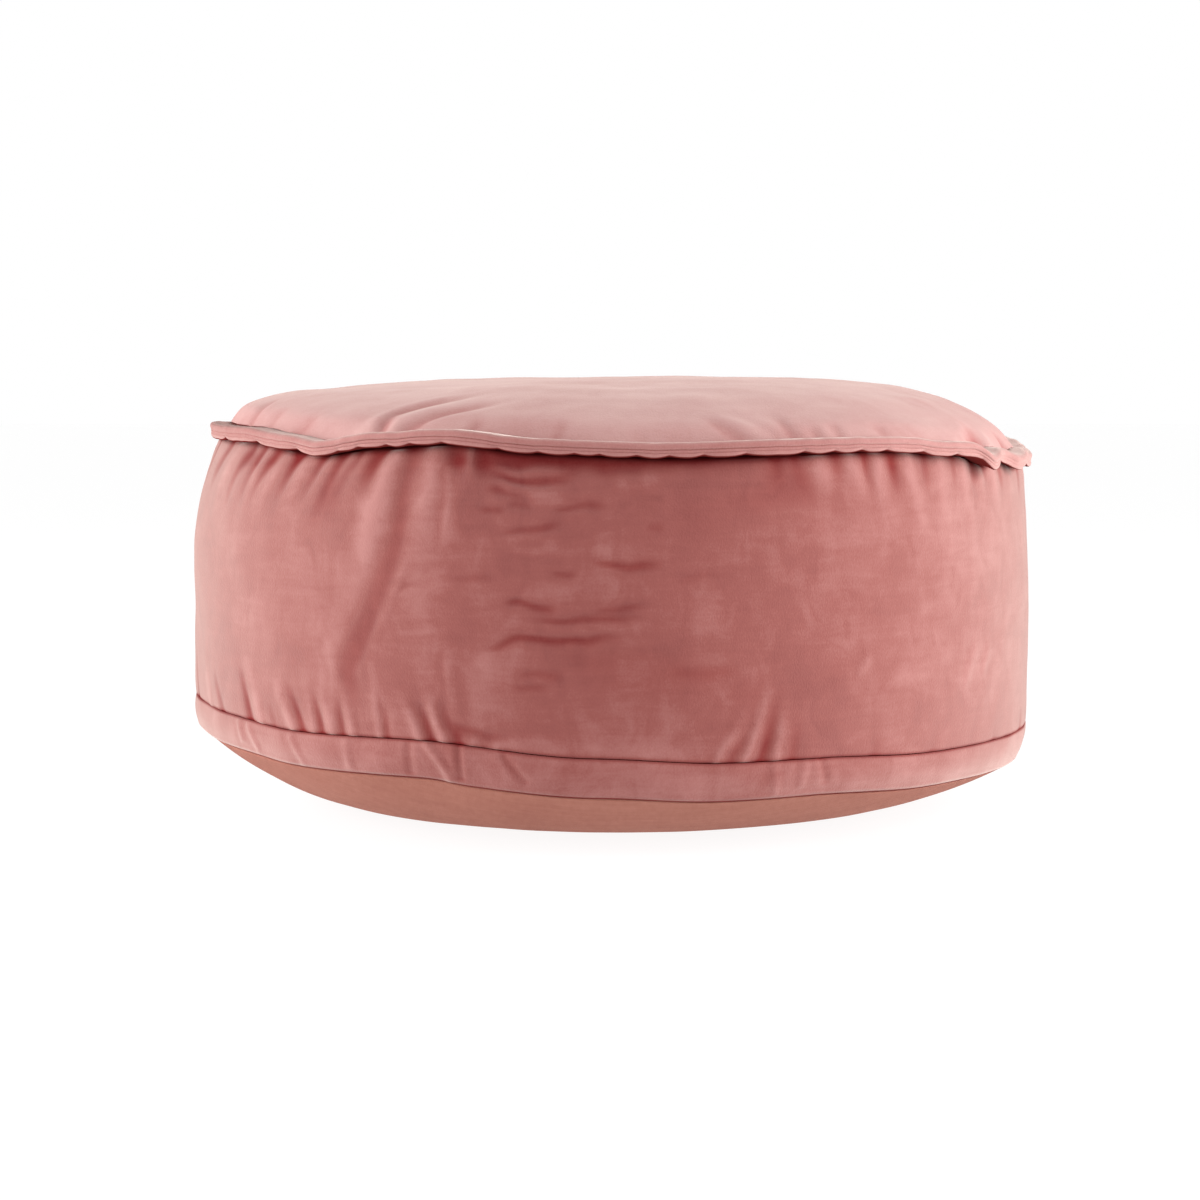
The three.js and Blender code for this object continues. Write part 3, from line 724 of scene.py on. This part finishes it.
def makeSideWall():
    steps = wall["steps"]
    azimuths = np.arange(steps) * 360 / steps
    bottom, top = wallEdges(azimuths)
    span = top - bottom
    fine = np.array([0, 0.8, 2.0]) / wall["tall"]
    shares = np.concatenate([fine, np.linspace(4.0 / wall["tall"], 1, wall["rows"])])[:, None]
    height = bottom + span * shares
    azimuth = np.broadcast_to(azimuths, height.shape)
    raised = np.zeros(height.shape)
    spare = np.zeros(height.shape)
    gathers = [
        (lipCreases + backGathers(7, top, -1), lipPress),
        (seamCreases + backGathers(8, bottom, 1), seamPress),
        (fallCreases, fallPress),
    ]
    for rows, press in gathers:
        pressCreases(rows, azimuth, height, wallArc, press, raised, spare)
    raised += wall["lump"] * mm * swells(3, azimuth, height, 0.09, 0.22, 12) * np.sin(math.pi * shares)
    radius = wallBody(azimuths, bottom, span, shares) + raised

    flangeRoot = followRing(flangeInnerRing, (0, 0), azimuths)[0] - 0.3 * mm
    zero = np.zeros((1, steps))
    under = [radius[0] * 0.6, radius[0] - 12 * mm]
    underHeights = [zero + core["wallBottom"], bottom]
    over = [flangeRoot, flangeRoot, flangeRoot * 0.6]
    overHeights = [top + 1.0 * mm, top + 4.7 * mm, zero + core["wallTop"]]
    radius = np.vstack(under + [radius] + over)
    height = np.vstack(underHeights + [height] + overHeights)
    piece = spinRows("sideWall", len(radius), steps)
    shapeRows(piece, steps, radius, height, radius * 0, (0, 0))

    # The filling plumps it, and the cloth is fuller near both seams
    place, azimuth, bottom, share = wallPlaces(piece)
    outward = np.hypot(place[:, 0], place[:, 1])
    free = (share > 0.004) & (share < 0.995) & (outward > 0.27)
    reach = wall["fullReach"] / wall["tall"]
    fuller = 1 + wall["fullness"] * (np.exp(-((share / reach) ** 2)) + np.exp(-(((1 - share) / reach) ** 2)))
    cut = place.copy()
    cut[:, :2] *= fuller[:, None]
    fillCloth(piece, ~free, cut, wall["cap"] * mm)
    subdivide(piece)

    # Crisp creases, the pinch at the seam, the lie of the pile and the painted light and shade come last
    place, azimuth, bottom, share = wallPlaces(piece)
    outward = np.hypot(place[:, 0], place[:, 1])
    height = place[:, 2]
    raised = np.zeros(len(place))
    nap = np.zeros(len(place))
    bent = azimuth + wall["bend"] / 5.2 * swells(5, azimuth, height, 0.02, 0.08, 14)
    lifted = height + wall["bend"] * mm * swells(6, azimuth, height, 0.02, 0.08, 14)
    for rows, press in gathers:
        crisp = dict(press, deep=press["deep"] * wall["crisp"])
        pressCreases(rows, bent, lifted, wallArc, crisp, raised, nap)
    pressCreases(crossCreases, bent, lifted, wallArc, crossPress, raised, nap)
    # brushed patches, with painted shadow under the flange and a painted highlight above the lower seam
    for row in brushedAndPaintedLight:
        aside = np.radians((bent - row["azimuth"] + 180) % 360 - 180) * wallArc / (row["along"] * mm)
        over = (lifted - row["height"] * mm) / (row["up"] * mm)
        nap += row["tone"] * np.exp(-(aside**2) - over**2)
    raised += wall["wrinkle"] * mm * swells(4, azimuth, height, 0.02, 0.05, 30)
    fromSeam = np.abs(height - bottom) / mm
    raised -= wall["pinchDepth"] * mm * np.exp(-((fromSeam / wall["pinchReach"]) ** 1.3))
    fromTop = (1 - share) * wall["tall"]
    # painted shade along the lower seam and in the strip just under the flange
    nap -= 0.9 * np.exp(-((fromSeam / 1.6) ** 2)) + 0.8 * np.exp(-((fromTop / 3.0) ** 2))
    shown = (outward > 0.265) & (share > -0.001) & (share < 1.001)
    place[:, :2] += place[:, :2] * (raised * shown / np.maximum(outward, 0.01))[:, None]
    piece.data.vertices.foreach_set("co", place.ravel())
    nap = np.where(nap < 0, 1.1 * np.tanh(nap / 1.1), nap)
    nap = np.where(shown, nap, hiddenPaintedShade)
    piece.data.attributes["nap"].data.foreach_set("value", nap.astype(np.float32))
    piece.data.update()
    dress(piece, "side_wall", sideVelvet)


# The flange: two rolled edges with a stitched groove between them

flange = {"steps": 1500, "ease": 0.7, "notchDepth": 1.5, "notchWidth": 1.0, "ripple": 0.22,
          "backFrom": 111, "backTo": 250}

# Its section in mm: how far in from the outer edge, how high, and how deep a groove is cut
flangeSection = table(
    "inward rise cut",
    (6.0, -4.5, 0), (4.0, -4.9, 0), (2.6, -4.9, 0), (1.4, -4.5, 0), (0.8, -3.7, 0), (0.6, -2.8, 0),
    (0.7, -2.0, 0), (0.8, -1.6, 0.5), (0.8, -1.2, 0.3), (0.7, -0.7, 0), (0.7, -0.1, 0), (0.6, 0.4, 0.35),
    (0.5, 0.7, 0.9), (0.4, 1.0, 0.4), (0.3, 1.6, 0), (0.1, 2.4, 0), (0.0, 3.2, 0), (0.4, 4.2, 0),
    (1.4, 5.0, 0), (2.8, 5.4, 0), (4.6, 5.3, 0), (6.4, 5.1, 0),
)

# Where the flange leaves the solid's line: up, out, and how far its edge hangs, in mm
flangeSway = table(
    "azimuth up out hang",
    (-90, 0, 0, 0), (-75, -1, 0, 0), (-54, 0, 0, 0), (-47, 1.6, 0, 0), (-43, -0.4, 1, 0.6), (-33, 1, 0, 0),
    (-20, 0, 0, 0), (-15, 1, 0, 0), (-8, 0, 0, 0), (15, 1.2, 0, 0), (22, 1, 0, 0), (32, 0, 0, 0),
    (46, -1, 0, 0.5), (52, 0.2, 1, 1), (55.4, -1, 2.5, 4.5), (59.5, 1.5, -3, 0), (65.5, -1, 2, 5),
    (71.5, 1, -3, 0), (82, -2.5, -3.5, 2), (96, -2.5, 0, 0), (112, 0, 0, 0),
)
notches = [-67, -56, -47, -39, -35.5, -31, -27.5, -23, -15.7, -10.7, -6.2, -3.2, 1.3, 5.3, 9.5, 14.8, 22.5,
           26.8, 30.8, 34.7, 41, 47.5, 53, 60, 69]


def swayAt(column, azimuths):
    turned = np.array([row["azimuth"] for row in flangeSway], float)
    values = np.array([row[column] for row in flangeSway], float) * mm
    return eased(np.interp((azimuths + 180) % 360 - 180, turned, values), 0.8)


def allNotches():
    rng = np.random.default_rng(11)
    places = list(notches)
    place = flange["backFrom"]
    while place < flange["backTo"]:
        places.append(place)
        place += rng.uniform(3.4, 8.5)
    return places


def makeTopFlange():
    steps = flange["steps"]
    azimuths = np.arange(steps) * 360 / steps
    root, _ = followRing(flangeInnerRing, topCentre, azimuths)
    outer, _ = followRing(flangeOuterRing, topCentre, azimuths)
    middle = eased(flangeHeight(azimuths, topCentre), flange["ease"]) + swayAt("up", azimuths)
    outer = eased(outer, flange["ease"]) + swayAt("out", azimuths)
    hang = swayAt("hang", azimuths)
    reach = outer - root
    scallop = np.zeros(steps)
    places = np.sort(np.array(allNotches()) % 360)
    for place in places:
        aside = ((azimuths - place + 180) % 360 - 180) / flange["notchWidth"]
        scallop += np.exp(-np.abs(aside) ** 1.2)
    ripple = flange["ripple"] * mm * swells(21, azimuths, 0 * azimuths, 0.012, 0.05, 24)
    # Near the root a row is given by its share of the reach, elsewhere by how far it lies inside the edge
    rows = [{"share": 0.0, "rise": -3.6}, {"share": 0.35, "rise": -4.1}] + flangeSection
    rows += [{"share": 0.4, "rise": 5.0}, {"share": 0.0, "rise": 4.9}]
    turned = (azimuths + 180) % 360 - 180
    grooveDepth = 1 - 0.7 * easeIn((np.abs(turned - 4) - 44) / 20)
    # painted light and shade: the flange is paler towards the right front and darker towards the far left
    shade = 0.25 * easeIn((turned - 10) / 30) - 0.3 * easeIn((-turned - 45) / 20)
    shade *= easeIn((160 - np.abs(turned)) / 50)  # the back has one even tone
    radius = []
    height = []
    nap = []
    for row in rows:
        cut = row.get("cut", 0)
        share = row["share"] if "share" in row else 1.0 - (row["inward"] + cut * grooveDepth) * mm / reach
        rise = row["rise"] * mm
        low = easeIn(-(row["rise"] + 0.5) / 3)
        out = root + reach * share + ripple * share * 0.6
        up = rise + ripple * share * 0.7 - hang * share**2
        up = up + low * flange["notchDepth"] * mm * scallop * easeIn((share - 0.4) / 0.4)
        out = out - low * 0.6 * flange["notchDepth"] * mm * scallop * easeIn((share - 0.6) / 0.3)
        radius.append(out)
        height.append(middle + up)
        # painted shade on the underside, on the top of the upper roll, in the stitched grooves and in the
        # notches of the lower roll; the lower roll is paler
        paintedShade = 1.6 if row["rise"] < -4.4 or "share" in row and row["rise"] < 0 else 0
        paintedShade += 0.2 if row["rise"] >= 5 else 0
        nap.append(shade + 0.2 * low - 0.6 * cut * grooveDepth - 0.2 * low * scallop - paintedShade)
    piece = spinRows("topFlange", len(rows), steps, ring=True)
    shapeRows(piece, steps, np.array(radius), np.array(height), np.array(nap), topCentre)
    dress(piece, "top_flange", flangeVelvet)


# The crowned top panel

crown = {"steps": 720, "rings": 84, "lump": 0.6, "wrinkle": 0.15, "frontHalf": 84, "settle": 0.9,
         "round": 4.5, "fullLeft": 3.0, "fullAt": 270, "fullAlong": 40, "fullIn": 32, "fullReach": 28}

# Creases of the top panel: azimuth, and how far in from the edge, in mm
crownCreases = [
    crease(-3.0, 3, (-34, 0), (-34.5, 14), (-32.5, 32), (-27.7, 52), (-22, 66)),
    crease(-3.0, 3, (-30, 0), (-26.5, 16), (-21, 34), (-16, 50)),
    crease(2.0, 3, (-32.6, 0), (-30, 20), (-26, 38), (-22, 54)),
    crease(1.6, 3, (-38, 0), (-35.6, 10), (-32.4, 24)),
    crease(-2.0, 2.4, (-9, 0), (-8, 14)),
    crease(-1.8, 2, (-20.5, 0), (-19, 9)),
    crease(-2.4, 2.6, (-51, 0), (-49, 6), (-48.6, 16)),
    crease(-2.0, 3, (-65, 0), (-67, 14), (-72, 32)),
    crease(-1.6, 3, (-58, 0), (-58, 16)),
    crease(-2.4, 2.6, (15.7, 0), (12.3, 12), (10.4, 26)),
    crease(1.2, 2.6, (18.6, 0), (15, 14), (12.6, 24)),
    crease(-1.8, 2.8, (22.4, 0), (21.8, 14), (20.5, 28)),
    crease(-1.6, 2.4, (26, 0), (25.4, 10)),
    crease(-1.8, 2.6, (29.5, 0), (29, 14)),
    crease(-1.4, 3, (37, 0), (36, 12)),
    crease(-5.0, 3.4, (57, 0), (60, 6), (62, 18), wide=5),
    crease(2.0, 3, (63, 0), (66, 12)),
    crease(-3.4, 3, (71, 0), (73, 14), wide=4),
    crease(-1.0, 3, (2, 0), (2.5, 10)),
]


# Rounds the shoulder off, and keeps the edge's own height
def roundOver(height, distance, reach):
    width = np.gradient(distance)
    near = np.exp(-0.5 * ((distance[:, None] - distance) / reach) ** 2) * width
    across = np.exp(-0.5 * ((distance[:, None] + distance) / reach) ** 2) * width
    total = near.sum(1) + across.sum(1)
    return (near @ height + across @ (2 * height[0] - height)) / total[:, None]


def makeTopPanel():
    steps = crown["steps"]
    azimuths = np.arange(steps) * 360 / steps
    ringRadius, _ = followRing(flangeInnerRing, topCentre, azimuths)
    root = ringRadius + 2.2 * mm
    rootHeight = eased(flangeHeight(azimuths, topCentre), 0.8) + 4.65 * mm
    inward = np.linspace(0, 1, crown["rings"])[:-1] ** 1.5
    surface = nodeSurface("top_panel")
    solid = np.zeros((len(inward), steps))
    coarse = np.arange(0, steps, 4)
    for row, share in enumerate(inward):
        for column in coarse:
            angle = math.radians(azimuths[column])
            out = root[column] * (1 - share) - 0.1 * mm
            start = Vector((topCentre[0] + out * math.sin(angle), topCentre[1] - out * math.cos(angle), 1))
            hit = surface.ray_cast(start, Vector((0, 0, -1)))[0]
            solid[row, column] = hit.z if hit else rootHeight[column]
    solid = solid[:, coarse]
    smooth = eased(solid, 8)
    turned = (azimuths[coarse] + 180) % 360 - 180
    behind = easeIn((np.abs(turned) - crown["frontHalf"]) / 10)
    solid = smooth + (eased(solid, 1.5) - smooth) * behind
    height = np.array([np.interp(azimuths, azimuths[coarse], row, period=360) for row in solid])
    height[0] = rootHeight
    height = roundOver(height, inward * root.mean(), crown["round"] * mm)
    fromLeft = (azimuths - crown["fullAt"]) / crown["fullAlong"]
    fromEdge = (inward[:, None] * crownArc - crown["fullIn"] * mm) / (crown["fullReach"] * mm)
    height += crown["fullLeft"] * mm * np.exp(-(fromLeft**2)) * np.exp(-(fromEdge**2))
    azimuth = np.broadcast_to(azimuths, height.shape)
    distance = inward[:, None] * root
    raised = np.zeros(height.shape)
    nap = np.zeros(height.shape)
    pressCreases(crownCreases, azimuth, distance, crownArc, crownPress, raised, nap)
    swell = easeIn(inward / 0.1)[:, None]
    x = (root * (1 - inward[:, None])) * np.sin(np.radians(azimuth))
    y = (root * (1 - inward[:, None])) * np.cos(np.radians(azimuth))
    for seed, size, short, long in ((31, crown["lump"], 0.1, 0.26), (32, crown["wrinkle"], 0.025, 0.06)):
        rng = np.random.default_rng(seed)
        for _ in range(16):
            length = rng.uniform(short, long)
            lean = rng.uniform(0, 2 * math.pi)
            phase = rng.uniform(0, 2 * math.pi)
            wave = np.cos((x * math.cos(lean) + y * math.sin(lean)) * 2 * math.pi / length + phase)
            raised += size * mm * 0.35 * wave * swell
    height = height + raised * easeIn((distance / mm + 1) / 2) - crown["settle"] * mm * swell
    radius = root * (1 - inward[:, None])
    zero = np.zeros((1, steps))
    tuck = ringRadius - 0.3 * mm
    under = rootHeight - 4.5 * mm
    radius = np.vstack([zero, tuck * 0.6, tuck, tuck, radius, zero])
    height = np.vstack([zero + core["topPanel"], under * 0.4 + core["topPanel"] * 0.6, under,
                        rootHeight - 0.3 * mm, height, zero + height[-1].mean()])
    nap = np.vstack([zero + hiddenPaintedShade] * 4 + [nap, zero])
    piece = spinRows("topPanel", len(radius), steps)
    shapeRows(piece, steps, radius, height, nap, topCentre)
    dress(piece, "top_panel", topVelvet)


# The lower band, between the seam and the underside

band = {"steps": 900, "pinch": 0.2, "bulge": 2.0, "hem": 0.4, "pale": 0.22}
bandCreases = [
    crease(1.8, 2, (-23.6, 72), (-21.7, 59), (-20.4, 46), wide=2),
    crease(-1.4, 2, (-26, 70), (-26, 50), wide=2),
    crease(-2.0, 1.6, (-19.4, 71), (-19.2, 48), wide=1.6),
    crease(-1.6, 2, (-13.6, 66), (-12.4, 58), (-10.6, 48), wide=2),
    crease(1.0, 2, (-57, 72), (-56, 58), wide=2),
    crease(1.0, 2, (-54.5, 70), (-52.4, 53), wide=2),
    crease(1.0, 2, (-45, 68), (-42.7, 49), wide=2),
    crease(0.8, 2, (-35.3, 68), (-35, 50), wide=2),
    crease(-1.2, 2, (26, 61), (27, 44), wide=2),
    crease(0.8, 2, (19.6, 60), (20, 38), wide=2),
    crease(0.8, 2, (23.7, 58), (23.3, 42), wide=2),
]


def makeLowerBand():
    steps = band["steps"]
    azimuths = np.arange(steps) * 360 / steps
    seamRadius, seamHeight = followRing(lowerSeamRing, (0, 0), azimuths)
    hemRadius, hemHeight = followRing(hemRing, (0, 0), azimuths)
    seamHeight = eased(seamHeight, 1.5) - 0.08 * mm
    hemHeight = eased(hemHeight, 0.9) + 0.15 * mm
    seamRadius = eased(seamRadius, 9)
    hemRadius = eased(hemRadius, 9)
    shares = np.concatenate([[0, 0.02, 0.05, 0.09], np.linspace(0.14, 0.9, 18), [0.94, 0.97, 1]])[:, None]
    height = hemHeight + (seamHeight - hemHeight) * shares
    body = hemRadius + (seamRadius - hemRadius) * shares**0.8
    body = body + band["bulge"] * mm * np.sin(math.pi * np.clip(shares, 0, 1)) ** 0.7
    fromSeam = (seamHeight - height) / mm
    fromHem = (height - hemHeight) / mm
    body = body - band["pinch"] * mm * np.exp(-((fromSeam / 0.9) ** 1.3))
    body = body - 0.8 * mm * np.exp(-((fromHem / 0.7) ** 1.3))
    body = body + band["hem"] * mm * np.exp(-(((fromHem - 2) / 1.6) ** 2))
    azimuth = np.broadcast_to(azimuths, height.shape)
    raised = np.zeros(height.shape)
    nap = np.zeros(height.shape)
    pressCreases(bandCreases, azimuth, height, wallArc, bandPress, raised, nap)
    raised += 0.25 * mm * swells(41, azimuth, height, 0.02, 0.08, 24)
    # painted shade along the lower seam and at the hem
    nap += band["pale"] - 0.9 * np.exp(-((fromSeam / 1.2) ** 2)) - 1.2 * np.exp(-((fromHem / 1.2) ** 2))
    radius = body + raised * easeIn(fromHem / 3 + 0.3)
    zero = np.zeros((1, steps))
    radius = np.vstack([zero, radius[0] * 0.6, radius[0] - 8 * mm, radius,
                        radius[-1] - 8 * mm, radius[-1] * 0.6, zero])
    low, high = core["bandBottom"], core["bandTop"]
    height = np.vstack([zero + low, height[0] * 0.4 + low * 0.6, height[0], height,
                        height[-1], height[-1] * 0.4 + high * 0.6, zero + high])
    nap = np.vstack([zero + hiddenPaintedShade] * 3 + [nap] + [zero + hiddenPaintedShade] * 3)
    piece = spinRows("lowerBand", len(radius), steps)
    shapeRows(piece, steps, radius, height, nap, (0, 0))
    dress(piece, "lower_band", sideVelvet)


# The underside, flat where it rests

base = {"steps": 720, "rows": 40, "inset": 1.6, "wrinkle": 0.25}


def makeBasePanel():
    steps = base["steps"]
    azimuths = np.arange(steps) * 360 / steps
    hemRadius, hemHeight = followRing(hemRing, (0, 0), azimuths)
    restRadius, _ = followRing(restRing, (0, 0), azimuths)
    edge = eased(hemHeight, 0.9) - 0.15 * mm
    hemRadius = eased(hemRadius, 9) - base["inset"] * mm
    restRadius = eased(restRadius, 9)
    out = np.linspace(0, 1, base["rows"])[:, None]
    height = edge * out**2
    radius = restRadius + (hemRadius - restRadius) * out
    azimuth = np.broadcast_to(azimuths, height.shape)
    soft = easeIn(out / 0.3)
    radius = radius + base["wrinkle"] * mm * soft * swells(51, azimuth, height, 0.03, 0.12, 24)
    zero = np.zeros((1, steps))
    flat = [0.35, 0.7, 0.9]
    radius = np.vstack([zero] + [restRadius * share for share in flat] + [radius, radius[-1] - 10 * mm,
                       radius[-1] * 0.6, zero])
    height = np.vstack([zero, zero, zero, zero, height, edge,
                        edge * 0.4 + core["base"] * 0.6, zero + core["base"]])
    nap = np.zeros(radius.shape)
    piece = spinRows("basePanel", len(radius), steps)
    shapeRows(piece, steps, radius, height, nap, (0, 0))
    dress(piece, "base_panel", peachCloth)


makeSideWall()
makeTopFlange()
makeTopPanel()
makeLowerBand()
makeBasePanel()
print("pieces made")

# A plain pale floor and soft studio light
studio = {"floor": 12.0, "albedo": 0.12, "glow": 0.9, "horizon": 1.0, "zenith": 0.3}

# Soft side lights, by azimuth from the front and power
sideLights = table(
    "azimuth power",
    (-75, 52), (75, 78), (-100, 34), (100, 12),
)


def makeStage():
    form = bmesh.new()
    bmesh.ops.create_grid(form, x_segments=1, y_segments=1, size=studio["floor"])
    data = bpy.data.meshes.new("floor")
    form.to_mesh(data)
    form.free()
    floor = bpy.data.objects.new("floor", data)
    bpy.context.scene.collection.objects.link(floor)
    finish = Finish("paleFloor")
    shader = finish.node(
        "BsdfPrincipled", None,
        {"Base Color": (studio["albedo"],) * 3 + (1,), "Roughness": 0.9, "Specular IOR Level": 0.2,
         "Emission Color": (1, 1, 1, 1), "Emission Strength": studio["glow"]},
    )
    finish.node("OutputMaterial", None, {"Surface": shader})
    floor.data.materials.append(finish.material)


# White all round at eye level, and dimmer overhead
def makeSky():
    world = bpy.data.worlds.new("studio")
    world.use_nodes = True
    tree = world.node_tree
    place = tree.nodes.new("ShaderNodeTexCoord")
    parts = tree.nodes.new("ShaderNodeSeparateXYZ")
    ramp = tree.nodes.new("ShaderNodeValToRGB")
    low, high = ramp.color_ramp.elements
    low.position, high.position = 0.3, 0.6
    low.color = (studio["horizon"],) * 3 + (1,)
    high.color = (studio["zenith"],) * 3 + (1,)
    tree.links.new(place.outputs["Generated"], parts.inputs[0])
    tree.links.new(parts.outputs["Z"], ramp.inputs[0])
    tree.links.new(ramp.outputs[0], tree.nodes["Background"].inputs["Color"])
    bpy.context.scene.world = world


def softLight(name, place, size, power):
    data = bpy.data.lights.new(name, "AREA")
    data.shape = "RECTANGLE"
    data.size, data.size_y = size
    data.energy = power
    light = bpy.data.objects.new(name, data)
    light.location = place
    light.rotation_euler = (Vector((0, 0, 0.15)) - Vector(place)).to_track_quat("-Z", "Y").to_euler()
    bpy.context.scene.collection.objects.link(light)


makeStage()
makeSky()
for row in sideLights:
    turn = math.radians(row["azimuth"])
    softLight("softBox", (2.4 * math.sin(turn), -2.4 * math.cos(turn), 0.8), (1.4, 1.6), row["power"])
print("stage made")
